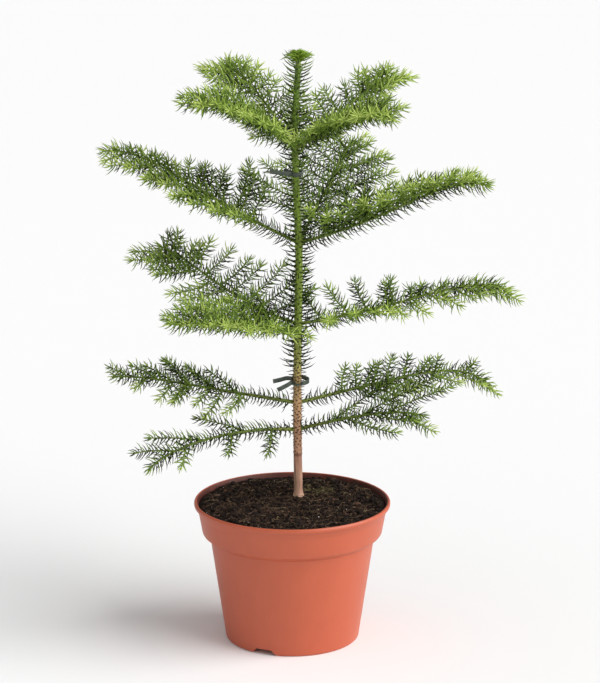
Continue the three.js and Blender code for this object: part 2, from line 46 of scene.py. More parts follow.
POT_HUB = [(26, 0), (26.7, 0.4), (28, 4.5), (28.6, 5), (48.6, 5), (49.2, 4.5), (50.6, 0.4), (51.2, 0)]
POT_BODY = [(56, 0), (57.1, 0.3), (57.9, 1.1), (58.2, 2.2), (64.2, 43), (70.6, 86.8), (71, 89.4)]
POT_SHOULDER = [(71.1, 90.1), (71.5, 90.5), (75.9, 93.4), (77.1, 94.4), (77.8, 95.5), (78.1, 96.6)]
POT_COLLAR = [(80.9, 112), (81.1, 113.2), (81.4, 113.6), (82.2, 118.2), (82.4, 118.5)]
POT_LIP = [(84, 118.6), (84.6, 118.9), (84.9, 119.5), (85, 120.4), (84.9, 121.4), (84.5, 122.2)]
POT_MOUTH = [(83.9, 122.6), (83.3, 122.6), (82.7, 122.3), (82.2, 121.6), (81.8, 120.4), (80.9, 117.2)]
POT_INSIDE = [(76.9, 97.2), (69.6, 90.3), (62.5, 46), (56.8, 9), (56.2, 7.6), (54.5, 6.8), (10, 6.8)]
NOTCH_AZIMUTHS = (245, 65)
NOTCH_REACH = 55
NOTCH_WIDTH, NOTCH_LENGTH, NOTCH_HEIGHT = 33, 14, 10
NOTCH_TOP_SHARE = 0.42
DRAIN_HOLES = 6
DRAIN_RADIUS, DRAIN_DEPTH, DRAIN_CIRCLE = 3.5, 14, 39
# Heights between which the pot's inner wall gets painted shade.
INNER_SHADE_FROM, INNER_SHADE_TO = 8, 122.2


def pick_only(piece):
    """Selects one piece and makes it active."""
    bpy.ops.object.select_all(action="DESELECT")
    piece.select_set(True)
    bpy.context.view_layer.objects.active = piece


def ring_solid(name, sides, rings):
    """A disc that is extruded ring by ring, up and over, so that its last face closes it."""
    bpy.ops.object.select_all(action="DESELECT")
    radius, height = rings[0]
    bpy.ops.mesh.primitive_circle_add(vertices=sides, radius=radius * MM, fill_type="NGON")
    piece = bpy.context.object
    piece.name = name
    bpy.ops.object.mode_set(mode="EDIT")
    bpy.ops.mesh.select_mode(type="FACE")
    bpy.ops.mesh.select_all(action="SELECT")
    bpy.ops.transform.translate(value=(0, 0, height * MM))
    for next_radius, next_height in rings[1:]:
        rise = (next_height - height) * MM
        spread = next_radius / radius
        bpy.ops.mesh.extrude_region_move(TRANSFORM_OT_translate={"value": (0, 0, rise)})
        bpy.ops.transform.resize(value=(spread, spread, 1), center_override=(0, 0, next_height * MM))
        radius, height = next_radius, next_height
    bpy.ops.mesh.select_all(action="SELECT")
    bpy.ops.mesh.normals_make_consistent(inside=False)
    bpy.ops.object.mode_set(mode="OBJECT")
    return piece


def cut_out(piece, cutter):
    """Cuts one closed shape out of a piece and removes it."""
    cut = piece.modifiers.new("cut", "BOOLEAN")
    cut.object = cutter
    cut.solver = "EXACT"
    pick_only(piece)
    bpy.ops.object.modifier_apply(modifier="cut")
    bpy.data.objects.remove(cutter, do_unlink=True)


def on_plant(piece, slot, *nodes):
    """Ties a finished piece to the root body and hides the solids it stands for. Its slot is not used."""
    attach(piece, "root")
    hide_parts(*nodes)


pot = ring_solid(
    "pot_shell", POT_SIDES,
    POT_HUB + POT_BODY + POT_SHOULDER + POT_COLLAR + POT_LIP + POT_MOUTH + POT_INSIDE,
)
for azimuth in NOTCH_AZIMUTHS:
    bpy.ops.object.select_all(action="DESELECT")
    bpy.ops.mesh.primitive_cube_add(size=1, scale=(NOTCH_WIDTH * MM, NOTCH_LENGTH * MM, NOTCH_HEIGHT * MM))
    notch = bpy.context.object
    bpy.ops.object.transform_apply(location=False, rotation=False, scale=True)
    bpy.ops.object.mode_set(mode="EDIT")
    bpy.ops.mesh.select_mode(type="VERT")
    bpy.ops.mesh.select_all(action="DESELECT")
    bpy.ops.object.mode_set(mode="OBJECT")
    for corner in notch.data.vertices:
        corner.select = corner.co.z > 0
    bpy.ops.object.mode_set(mode="EDIT")
    bpy.ops.transform.resize(value=(NOTCH_TOP_SHARE, 1, 1), center_override=(0, 0, NOTCH_HEIGHT / 2 * MM))
    bpy.ops.object.mode_set(mode="OBJECT")
    turn = math.radians(azimuth)
    notch.rotation_euler.z = turn + math.pi / 2
    notch.location = (NOTCH_REACH * MM * math.cos(turn), NOTCH_REACH * MM * math.sin(turn), 0)
    bpy.ops.object.transform_apply(location=True, rotation=True, scale=True)
    cut_out(pot, notch)
for place in range(DRAIN_HOLES):
    turn = 2 * math.pi * (place + 0.5) / DRAIN_HOLES
    x, y = DRAIN_CIRCLE * MM * math.cos(turn), DRAIN_CIRCLE * MM * math.sin(turn)
    bpy.ops.object.select_all(action="DESELECT")
    bpy.ops.mesh.primitive_cylinder_add(
        vertices=24, radius=DRAIN_RADIUS * MM, depth=DRAIN_DEPTH * MM, location=(x, y, DRAIN_DEPTH / 2 * MM),
    )
    cut_out(pot, bpy.context.object)
pick_only(pot)
bpy.ops.object.shade_smooth_by_angle(angle=math.radians(32))


def mottle_group():
    """Two colours mixed by cloudy noise, for any matt surface."""
    group = bpy.data.node_groups.new("mottle", "ShaderNodeTree")
    sockets = group.interface
    sockets.new_socket("Vector", in_out="INPUT", socket_type="NodeSocketVector")
    sockets.new_socket("Dark", in_out="INPUT", socket_type="NodeSocketColor")
    sockets.new_socket("Light", in_out="INPUT", socket_type="NodeSocketColor")
    sockets.new_socket("Scale", in_out="INPUT", socket_type="NodeSocketFloat")
    sockets.new_socket("Colour", in_out="OUTPUT", socket_type="NodeSocketColor")
    entry = group.nodes.new("NodeGroupInput")
    leave = group.nodes.new("NodeGroupOutput")
    cloud = group.nodes.new("ShaderNodeTexNoise")
    cloud.inputs["Detail"].default_value = 6
    cloud.inputs["Roughness"].default_value = 0.6
    stretch = group.nodes.new("ShaderNodeMapRange")
    stretch.inputs["From Min"].default_value = 0.32
    stretch.inputs["From Max"].default_value = 0.68
    blend = group.nodes.new("ShaderNodeMix")
    blend.data_type = "RGBA"
    group.links.new(entry.outputs["Vector"], cloud.inputs["Vector"])
    group.links.new(entry.outputs["Scale"], cloud.inputs["Scale"])
    group.links.new(cloud.outputs["Fac"], stretch.inputs["Value"])
    group.links.new(stretch.outputs["Result"], blend.inputs["Factor"])
    group.links.new(entry.outputs["Dark"], blend.inputs["A"])
    group.links.new(entry.outputs["Light"], blend.inputs["B"])
    group.links.new(blend.outputs["Result"], leave.inputs["Colour"])
    return group


mottle = mottle_group()


def srgb(red, green, blue):
    """A colour as read off a screen, 0 to 255, as the shader's linear values."""
    steps = [value / 255 for value in (red, green, blue)]
    return tuple(v / 12.92 if v <= 0.04045 else ((v + 0.055) / 1.055) ** 2.4 for v in steps) + (1,)


def mottled(name, dark, light, scale, roughness, relief=0.0, relief_scale=0.0, shine=0.5):
    """A material with cloudy colour and, if asked, a fine bump."""
    material = bpy.data.materials.new(name)
    material.use_nodes = True
    tree = material.node_tree
    shader = tree.nodes["Principled BSDF"]
    shader.inputs["Roughness"].default_value = roughness
    shader.inputs["Specular IOR Level"].default_value = shine
    place = tree.nodes.new("ShaderNodeTexCoord")
    colour = tree.nodes.new("ShaderNodeGroup")
    colour.node_tree = mottle
    colour.inputs["Dark"].default_value = dark
    colour.inputs["Light"].default_value = light
    colour.inputs["Scale"].default_value = scale
    tree.links.new(place.outputs["Object"], colour.inputs["Vector"])
    tree.links.new(colour.outputs["Colour"], shader.inputs["Base Color"])
    if relief:
        grain = tree.nodes.new("ShaderNodeTexNoise")
        grain.inputs["Scale"].default_value = relief_scale
        grain.inputs["Detail"].default_value = 4
        bump = tree.nodes.new("ShaderNodeBump")
        bump.inputs["Strength"].default_value = 0.5
        bump.inputs["Distance"].default_value = relief * MM
        tree.links.new(place.outputs["Object"], grain.inputs["Vector"])
        tree.links.new(grain.outputs["Fac"], bump.inputs["Height"])
        tree.links.new(bump.outputs["Normal"], shader.inputs["Normal"])
    return material


pot_plastic = mottled(
    "terracotta_plastic", srgb(178, 79, 45), srgb(183, 83, 49), 45, 0.45,
    relief=0.05, relief_scale=900, shine=0.65,
)
pot.data.materials.append(pot_plastic)
# Painted shade: the pot's inner wall gets a dark red-brown plastic that stands in for the shade inside the
# pot.
pot.data.materials.append(mottled("painted_shade_plastic", srgb(74, 32, 22), srgb(108, 48, 34), 120, 0.6))
for face in pot.data.polygons:
    middle = face.center
    inward = face.normal.x * middle.x + face.normal.y * middle.y < -0.3 * middle.xy.length
    if inward and INNER_SHADE_FROM * MM < middle.z < INNER_SHADE_TO * MM:
        face.material_index = 1
on_plant(pot, "pot", "pot")


# Potting peat: moist, dark and crumbly, filled to the lip and pressed down a little at the wall.
# It is one body of peat with a rough top, and crumbs, fibres, bark chips and grit lie on it.
SOIL_SIDES = 180
SOIL_STEPS = 56
SOIL_SIDE = [(56, 7.2), (69, 90.7), (76.3, 97.6), (80.6, 118.3)]
SOIL_EDGE, SOIL_EDGE_LEVEL = 80.6, 119.4
SOIL_CROWN, SOIL_CROWN_RISE = 26, 1.9
SOIL_TOP_FROM = 118.6
BROAD_SWELL, FINE_SWELL = 2, 1.3
TRUNK_FOOT_X, TRUNK_Y = 5.4, 14
TRUNK_MARGIN = 4.6


def peat_height(x, y):
    """Height of the peat's top in mm, at a place in mm."""
    reach = math.hypot(x, y)
    share = min(max((SOIL_EDGE - reach) / (SOIL_EDGE - SOIL_CROWN), 0), 1)
    level = SOIL_EDGE_LEVEL + SOIL_CROWN_RISE * share
    calm = min(1, (SOIL_EDGE - reach) / 4)
    broad = noise.fractal(Vector((x / 22, y / 22, 3.1)), 1.0, 2.0, 3)
    fine = noise.fractal(Vector((x / 4.5, y / 4.5, 8.7)), 0.7, 2.1, 4)
    near_trunk = math.exp(-((x - TRUNK_FOOT_X) ** 2 + (y - TRUNK_Y) ** 2) / 60)
    swell = calm * (BROAD_SWELL * broad + FINE_SWELL * fine)
    return level + swell * (1 - 0.7 * near_trunk) + 0.9 * near_trunk


top_rings = [(SOIL_EDGE * (1 - step / SOIL_STEPS), 119) for step in range(1, SOIL_STEPS)]
peat = ring_solid("peat_body", SOIL_SIDES, SOIL_SIDE + top_rings)
for point in peat.data.vertices:
    if point.co.z > SOIL_TOP_FROM * MM:
        point.co.z = peat_height(point.co.x / MM, point.co.y / MM) * MM
pick_only(peat)
bpy.ops.object.shade_smooth_by_angle(angle=math.radians(60))
peat.data.materials.append(mottled(
    "moist_peat", srgb(14, 9, 7), srgb(40, 27, 20), 260, 0.95, relief=0.6, relief_scale=700, shine=0.2,
))
on_plant(peat, "soil", "soil")

LUMP_CORNERS = np.array([
    (0, -0.5257, 0.8507), (0, 0.5257, 0.8507), (0, -0.5257, -0.8507), (0, 0.5257, -0.8507),
    (0.8507, 0, 0.5257), (-0.8507, 0, 0.5257), (0.8507, 0, -0.5257), (-0.8507, 0, -0.5257),
    (0.5257, 0.8507, 0), (-0.5257, 0.8507, 0), (0.5257, -0.8507, 0), (-0.5257, -0.8507, 0),
])
LUMP_FACES = np.array([
    (0, 4, 1), (0, 1, 5), (0, 5, 11), (0, 11, 10), (0, 10, 4), (1, 4, 8), (1, 8, 9), (1, 9, 5),
    (5, 9, 7), (5, 7, 11), (11, 7, 2), (11, 2, 10), (10, 2, 6), (10, 6, 4), (4, 6, 8),
    (3, 9, 8), (3, 8, 6), (3, 6, 2), (3, 2, 7), (3, 7, 9),
])


def joined(name, corners, faces, material, smooth=True):
    """One mesh piece from an array of corners in mm and an array of triangles."""
    mesh = bpy.data.meshes.new(name)
    mesh.from_pydata((corners * MM).tolist(), [], faces.tolist())
    mesh.polygons.foreach_set("use_smooth", [smooth] * len(mesh.polygons))
    mesh.materials.append(material)
    piece = bpy.data.objects.new(name, mesh)
    bpy.context.collection.objects.link(piece)
    return piece


def stacked(parts):
    """Many small (corners, faces) meshes as one pair of arrays."""
    corners = np.concatenate([part[0] for part in parts])
    starts = np.cumsum([0] + [len(part[0]) for part in parts[:-1]])
    faces = np.concatenate([part[1] + start for part, start in zip(parts, starts)])
    return corners, faces


def strewn_place(draws, margin):
    """A random spot on the peat, in mm, that keeps a margin from the wall."""
    reach = (SOIL_EDGE - margin) * math.sqrt(draws.random())
    angle = draws.uniform(0, 2 * math.pi)
    return reach * math.cos(angle), reach * math.sin(angle)


def lumps(draws, count, small, large, squash):
    """Uneven lumps that lie on the peat, each turned and tipped its own way."""
    parts = []
    while len(parts) < count:
        size = small + (large - small) * draws.random() ** 3
        x, y = strewn_place(draws, 1 + size)
        if math.hypot(x - TRUNK_FOOT_X, y - TRUNK_Y) < TRUNK_MARGIN + size:
            continue
        shape = LUMP_CORNERS * draws.uniform(0.7, 1.25, (12, 1)) * draws.uniform(0.7, 1.3, 3)
        turn, tip = draws.uniform(0, 2 * math.pi, 2)
        spin = np.array(Matrix.Rotation(turn, 3, "Z"))
        lean = np.array(Matrix.Rotation(tip, 3, "X"))
        shape = shape @ lean.T @ spin.T * size * np.array([1, 1, squash])
        parts.append((shape + np.array([x, y, peat_height(x, y) + 0.3 * size]), LUMP_FACES))
    return stacked(parts)


def tube(path, radii, sides):
    """A closed tube round a path, in mm."""
    path = np.asarray(path, float)
    along = np.gradient(path, axis=0)
    along /= np.linalg.norm(along, axis=1)[:, None]
    hint = np.array([0, 0, 1.0]) if abs(along[0, 2]) < 0.9 else np.array([0, 1.0, 0])
    top = hint - along * (along @ hint)[:, None]
    top /= np.linalg.norm(top, axis=1)[:, None]
    side = np.cross(along, top)
    angle = 2 * np.pi * np.arange(sides) / sides
    ring = np.cos(angle)[None, :, None] * top[:, None] + np.sin(angle)[None, :, None] * side[:, None]
    wall = path[:, None] + ring * np.asarray(radii, float)[:, None, None]
    corners = np.concatenate([wall.reshape(-1, 3), path[:1], path[-1:]])
    faces = []
    count = len(path)
    for i in range(count - 1):
        for k in range(sides):
            a, b = i * sides + k, i * sides + (k + 1) % sides
            faces += [(a, b, b + sides), (a, b + sides, a + sides)]
    for k in range(sides):
        last = (count - 1) * sides
        faces.append(((k + 1) % sides, k, count * sides))
        faces.append((last + k, last + (k + 1) % sides, count * sides + 1))
    return corners, np.array(faces)


def fibres(draws, count, shortest, longest, thin, thick, tuft=None):
    """Thin strands that lie on the peat, all over it or thick round one tuft."""
    parts = []
    for _ in range(count):
        x, y = tuft + 8 * draws.standard_normal(2) if tuft is not None else strewn_place(draws, 6)
        heading = draws.uniform(0, 2 * math.pi)
        bend = draws.uniform(-0.5, 0.5)
        step = (shortest + (longest - shortest) * draws.random() ** 2) / 6
        hump = draws.uniform(0.2, 1.6)
        path = []
        for i in range(7):
            if math.hypot(x, y) > SOIL_EDGE - 1.5:
                break
            path.append((x, y, peat_height(x, y) + 0.3 + hump * math.sin(math.pi * i / 6)))
            heading += bend + draws.uniform(-0.25, 0.25)
            x += step * math.cos(heading)
            y += step * math.sin(heading)
        if len(path) > 3:
            width = draws.uniform(thin, thick)
            parts.append(tube(path, width * np.linspace(1, 0.5, len(path)), 5))
    return stacked(parts)


strewn = np.random.default_rng(7)
for name, count, small, large, dark, light in (
    ("peat_crumbs_black", 2600, 0.4, 2.8, (12, 8, 6), (42, 30, 23)),
    ("peat_crumbs_brown", 1500, 0.3, 1.7, (46, 33, 25), (86, 63, 48)),
    ("peat_crumbs_rust", 140, 0.3, 1.5, (84, 54, 37), (124, 86, 60)),
):
    corners, faces = lumps(strewn, count, small, large, 0.6)
    crumb_skin = mottled(name, srgb(*dark), srgb(*light), 500, 0.95, shine=0.2)
    crumbs = joined(name, corners, faces, crumb_skin, smooth=False)
    on_plant(crumbs, "soil")
for name, count, longest, thick, dark, light, tuft in (
    ("peat_fibres_dark", 1200, 16, 0.28, (56, 40, 29), (104, 78, 57), None),
    ("peat_fibres_straw", 110, 20, 0.32, (112, 92, 66), (160, 138, 104), None),
    ("peat_fibres_moss", 110, 13, 0.45, (72, 70, 38), (122, 112, 70), np.array([22, 32])),
):
    corners, faces = fibres(strewn, count, 4, longest, 0.12, thick, tuft)
    strands = joined(name, corners, faces, mottled(name, srgb(*dark), srgb(*light), 300, 0.9))
    on_plant(strands, "soil")
corners, faces = lumps(strewn, 70, 1.2, 3.6, 0.22)
chips = joined(
    "bark_chips", corners, faces,
    mottled("bark_chip", srgb(52, 34, 24), srgb(112, 78, 56), 400, 0.85), smooth=False,
)
on_plant(chips, "soil")
corners, faces = lumps(strewn, 46, 0.35, 0.8, 0.9)
grit = joined(
    "white_grit", corners, faces,
    mottled("white_grit", srgb(196, 190, 178), srgb(232, 228, 220), 600, 0.8), smooth=False,
)
on_plant(grit, "soil")


# Trunk: a slim young stem, slightly wavy, with smooth tan bark at the foot and scarred brown bark above.
# Higher up it is still green, and its needles stand on small cushions that wind round the stem.
TRUNK_FOOT, TRUNK_TOP = 121.7, 498
TRUNK_COURSE = np.array([
    (TRUNK_FOOT_X, TRUNK_FOOT), (4.6, 178), (4.5, 228), (5.3, 297), (5.9, 341), (4.2, 384), (2.6, 430),
    (2.8, 457), (4.8, 490), (5.2, TRUNK_TOP),
])
TRUNK_FOOT_GIRTH, TRUNK_THINNING = 3.9, 1.5
FLARE, FLARE_HEIGHT = 1.5, 7
COLLAR, COLLAR_HEIGHT = 0.45, 4
WHORL_HEIGHTS = (182, 206, 276, 347, 428)
GOLDEN_TURN = math.radians(137.508)
TRUNK_CUSHIONS_PER_MM = 2.6
CUSHION_TALL, CUSHION_WIDE = 1.15, 1.5
CUSHION_RISE, STREAK_RISE = 0.4, 0.18
SCARS_FROM, SCARS_FADE = 161, 275
TRUNK_TINTS = [
    (122, (198, 158, 132)), (158, (176, 128, 104)), (160, (104, 58, 42)), (162, (186, 138, 108)),
    (190, (190, 146, 110)), (226, (168, 142, 90)), (242, (150, 150, 74)), (275, (132, 152, 56)),
    (320, (124, 148, 46)), (498, (94, 122, 38)),
]


def trunk_x(height):
    """Smooth course through the trunk's points."""
    x, z = TRUNK_COURSE[:, 0], TRUNK_COURSE[:, 1]
    slope = np.gradient(x, z)
    i = int(np.clip(np.searchsorted(z, height) - 1, 0, len(z) - 2))
    span = z[i + 1] - z[i]
    t = (height - z[i]) / span
    return (
        (2 * t ** 3 - 3 * t ** 2 + 1) * x[i] + (t ** 3 - 2 * t ** 2 + t) * span * slope[i]
        + (3 * t ** 2 - 2 * t ** 3) * x[i + 1] + (t ** 3 - t ** 2) * span * slope[i + 1]
    )


def trunk_radius(height):
    """An even taper with a flare at the foot and a slight collar at each whorl."""
    share = (height - TRUNK_FOOT) / (TRUNK_TOP - TRUNK_FOOT)
    flare = FLARE * max(0, 1 - (height - TRUNK_FOOT) / FLARE_HEIGHT) ** 2
    collars = sum(COLLAR * math.exp(-((height - whorl) / COLLAR_HEIGHT) ** 2) for whorl in WHORL_HEIGHTS)
    return TRUNK_FOOT_GIRTH - TRUNK_THINNING * share + flare + collars


def cushion_relief(angles, heights, radii, places, turns, tall, wide, swell):
    """How high each point stands on the nearest needle cushion, 0 to 1. Swell sets each one's size."""
    relief = np.zeros(len(heights))
    for place, turn, size in zip(places, turns, swell):
        near = np.abs(heights - place) < tall * size
        across = np.angle(np.exp(1j * (angles[near] - turn))) * radii[near]
        gone = ((heights[near] - place) / tall) ** 2 + (across / wide) ** 2
        relief[near] = np.maximum(relief[near], np.clip(1 - gone / size ** 2, 0, 1))
    return relief


bpy.ops.object.select_all(action="DESELECT")
bpy.ops.mesh.primitive_circle_add(vertices=14, radius=trunk_radius(TRUNK_FOOT) * MM, fill_type="NGON")
trunk = bpy.context.object
trunk.name = "trunk_bark"
bpy.ops.object.mode_set(mode="EDIT")
bpy.ops.mesh.select_mode(type="FACE")
bpy.ops.mesh.select_all(action="SELECT")
place = Vector((trunk_x(TRUNK_FOOT), TRUNK_Y, TRUNK_FOOT)) * MM
bpy.ops.transform.translate(value=place)
girth = trunk_radius(TRUNK_FOOT)
trunk_heights = [TRUNK_FOOT + rise for rise in (0.3, 1.5, 3, 5, 7)]
trunk_heights += list(np.linspace(TRUNK_FOOT + 10, TRUNK_TOP + 1, 176))
for height in trunk_heights:
    step = Vector((trunk_x(min(height, TRUNK_TOP)), TRUNK_Y, height)) * MM - place
    place = place + step
    next_girth = trunk_radius(height)
    bpy.ops.mesh.extrude_region_move(TRANSFORM_OT_translate={"value": step})
    spread = next_girth / girth
    bpy.ops.transform.resize(value=(spread, spread, 1), center_override=place)
    girth = next_girth
bpy.ops.mesh.select_all(action="SELECT")
bpy.ops.mesh.normals_make_consistent(inside=False)
bpy.ops.object.mode_set(mode="OBJECT")
rounding = trunk.modifiers.new("rounding", "SUBSURF")
rounding.levels = 2
rounding.render_levels = 2
pick_only(trunk)
bpy.ops.object.modifier_apply(modifier="rounding")

trunk_points = np.empty(len(trunk.data.vertices) * 3)
trunk.data.vertices.foreach_get("co", trunk_points)
trunk_points = trunk_points.reshape(-1, 3) / MM
axis_x = np.array([trunk_x(min(max(z, TRUNK_FOOT), TRUNK_TOP)) for z in trunk_points[:, 2]])
outward = trunk_points[:, :2] - np.stack([axis_x, np.full(len(axis_x), TRUNK_Y)], axis=1)
distance = np.linalg.norm(outward, axis=1)
outward /= np.maximum(distance, 1e-6)[:, None]
cushion_places = np.arange(SCARS_FROM, TRUNK_TOP, 1 / TRUNK_CUSHIONS_PER_MM)
cushion_turns = GOLDEN_TURN * np.arange(len(cushion_places))
uneven = np.random.default_rng(11)
cushions = cushion_relief(
    np.arctan2(outward[:, 1], outward[:, 0]), trunk_points[:, 2], distance,
    cushion_places + uneven.uniform(-0.5, 0.5, len(cushion_places)),
    cushion_turns + uneven.uniform(-0.14, 0.14, len(cushion_places)),
    CUSHION_TALL, CUSHION_WIDE, uneven.uniform(0.6, 1.2, len(cushion_places)),
)
streaks = np.array([
    noise.noise(Vector((point[0] * 1.3, point[1] * 1.3, point[2] * 0.12))) for point in trunk_points
])
bark_rise = CUSHION_RISE * cushions + STREAK_RISE * streaks
bark_rise[distance < 0.5 * trunk_radius(TRUNK_TOP)] = 0
trunk_points[:, :2] += outward * bark_rise[:, None]
trunk.data.vertices.foreach_set("co", (trunk_points * MM).ravel())
scars = cushions * np.clip((SCARS_FADE - trunk_points[:, 2]) / 40, 0.55, 1)
trunk.data.attributes.new("cushion", "FLOAT", "POINT").data.foreach_set("value", scars)
trunk.data.update()
pick_only(trunk)
bpy.ops.object.shade_smooth()


def bark(name, stops, low, high, scar):
    """Bark whose colour changes with height, darker or lighter on the needle cushions."""
    material = mottled(
        name, srgb(104, 104, 104), srgb(214, 214, 214), 480, 0.75, relief=0.15, relief_scale=600,
    )
    tree = material.node_tree
    shader = tree.nodes["Principled BSDF"]
    cloud = next(node for node in tree.nodes if node.type == "GROUP")
    place = next(node for node in tree.nodes if node.type == "TEX_COORD")
    drawn_out = tree.nodes.new("ShaderNodeMapping")
    drawn_out.inputs["Scale"].default_value = (1, 1, 0.12)
    tree.links.new(place.outputs["Object"], drawn_out.inputs["Vector"])
    tree.links.new(drawn_out.outputs["Vector"], cloud.inputs["Vector"])
    apart = tree.nodes.new("ShaderNodeSeparateXYZ")
    climb = tree.nodes.new("ShaderNodeMapRange")
    climb.inputs["From Min"].default_value = low * MM
    climb.inputs["From Max"].default_value = high * MM
    ramp = tree.nodes.new("ShaderNodeValToRGB")
    ramp.color_ramp.elements.remove(ramp.color_ramp.elements[0])
    ramp.color_ramp.elements[0].position = (stops[0][0] - low) / (high - low)
    ramp.color_ramp.elements[0].color = srgb(*stops[0][1])
    for height, colour in stops[1:]:
        ramp.color_ramp.elements.new((height - low) / (high - low)).color = srgb(*colour)
    worn = tree.nodes.new("ShaderNodeMix")
    worn.data_type = "RGBA"
    worn.blend_type = "OVERLAY"
    worn.inputs["Factor"].default_value = 0.7
    marked = tree.nodes.new("ShaderNodeMix")
    marked.data_type = "RGBA"
    cushion = tree.nodes.new("ShaderNodeAttribute")
    cushion.attribute_name = "cushion"
    depth = tree.nodes.new("ShaderNodeMapRange")
    depth.inputs["From Min"].default_value = 0.3
    depth.inputs["From Max"].default_value = 0.75
    depth.inputs["To Max"].default_value = 0.9
    tree.links.new(place.outputs["Object"], apart.inputs["Vector"])
    tree.links.new(apart.outputs["Z"], climb.inputs["Value"])
    tree.links.new(climb.outputs["Result"], ramp.inputs["Fac"])
    tree.links.new(ramp.outputs["Color"], worn.inputs["A"])
    tree.links.new(cloud.outputs["Colour"], worn.inputs["B"])
    tree.links.new(worn.outputs["Result"], marked.inputs["A"])
    marked.inputs["B"].default_value = srgb(*scar)
    tree.links.new(cushion.outputs["Fac"], depth.inputs["Value"])
    tree.links.new(depth.outputs["Result"], marked.inputs["Factor"])
    tree.links.new(marked.outputs["Result"], shader.inputs["Base Color"])
    return material


trunk.data.materials.append(bark("trunk_bark", TRUNK_TINTS, 120, 500, (66, 32, 20)))
on_plant(trunk, "trunk", "trunk")


# Ties: narrow flat bands of dark plastic that are bent once round the trunk.
# Their two ends cross on the left and stand away loosely.
TIE_WIDTH, TIE_THICKNESS = 3.6, 0.8
TIE_CLEARANCE = 1.0
TIES = (
    ("tie_upper", 407, 1.5, [(-22, -4.4, 2.2), (-16, -4.8, 1.6), (-9, -5.0, 0.6)], [(-10, 5.0, 1.2)]),
    ("tie_lower", 226, 5.5, [(-21, 1.0, -1.2), (-15, 2.4, -0.4), (-9, 4.0, 1.2)],
     [(-9, -4.2, -3.6), (-17, -2.6, -8.0)]),
)
tie_plastic = mottled(
    "tie_plastic", srgb(46, 54, 46), srgb(78, 88, 76), 200, 0.5, relief=0.1, relief_scale=500,
)


def band(name, route, flat):
    """A strip on edge that follows a route, with rounded edges, and lies flat where it is told to."""
    bpy.ops.object.select_all(action="DESELECT")
    bpy.ops.curve.primitive_nurbs_path_add()
    strip = bpy.context.object
    strip.name = name
    strip.data.splines.clear()
    spline = strip.data.splines.new("NURBS")
    spline.points.add(len(route) - 1)
    for i, (knot, point) in enumerate(zip(spline.points, route)):
        knot.co = (*(value * MM for value in point), 1)
        knot.tilt = math.radians(80) if i in flat else 0
    spline.use_endpoint_u = True
    spline.order_u = 3
    strip.data.twist_mode = "Z_UP"
    strip.data.extrude = TIE_WIDTH / 2 * MM
    strip.data.resolution_u = 6
    bpy.ops.object.convert(target="MESH")
    wall = strip.modifiers.new("wall", "SOLIDIFY")
    wall.thickness = TIE_THICKNESS * MM
    wall.offset = 0
    edge = strip.modifiers.new("edge", "BEVEL")
    edge.width = 0.2 * MM
    edge.segments = 2
    pick_only(strip)
    bpy.ops.object.modifier_apply(modifier="wall")
    bpy.ops.object.modifier_apply(modifier="edge")
    bpy.ops.object.shade_smooth_by_angle(angle=math.radians(40))
    return strip


for name, height, slack, start, end in TIES:
    clear = trunk_radius(height) + TIE_CLEARANCE
    around = []
    for turn in range(-160, 161, 20):
        angle = math.radians(turn)
        reach = clear + slack * max(0, math.cos(angle)) ** 2
        around.append((reach * math.cos(angle), clear * math.sin(angle), 0.5 * slack * math.sin(angle)))
    if start[0][1] > 0:
        around.reverse()
    middle = np.array((trunk_x(height), TRUNK_Y, height))
    route = [tuple(middle + np.array(point)) for point in start + around + end]
    flat = [
        i for i, (x, y, _) in enumerate(route)
        if slack > 3 and y < TRUNK_Y - 3.6 and abs(x - middle[0]) < 4
    ]
    tie = band(name + "_band", route, flat)
    tie.data.materials.append(tie_plastic)
    on_plant(tie, "tie", name)


# Boughs: green young limbs that leave the trunk in whorls, a few at each height.
# Each has thin smooth bark with needle cushions, and runs on as the stem of its spray.
# Azimuth, rise, arch and droop steer a limb, and bare is the share of it before its spray. Pairs, twig,
# taper and fall give its twigs' number and length. The other angles say how they lie.
WHORLS = {
    "crown": dict(height=428, girth=1.4, bare=0.14, pairs=8, twig=36, taper=0.35, fall=1,
                  fan=(95, 45), lift=15, curl=20),
    "upper": dict(height=347, girth=1.7, bare=0.2, pairs=9, twig=50, taper=0.25, fall=1,
                  fan=(100, 50), lift=15, curl=20),
    "middle": dict(height=276, girth=1.7, bare=0.14, pairs=8, twig=50, taper=0.4, fall=1,
                   fan=(100, 50), lift=15, curl=20),
    "lower": dict(height=206, girth=1.9, bare=0.22, pairs=5, twig=42, taper=0.5, fall=1.5,
                  fan=(75, 55), lift=0, curl=15),
    "lowest": dict(height=182, girth=1.9, bare=0.2, pairs=3, twig=50, taper=0.5, fall=1.5,
                   fan=(75, 40), lift=6, curl=15),
}
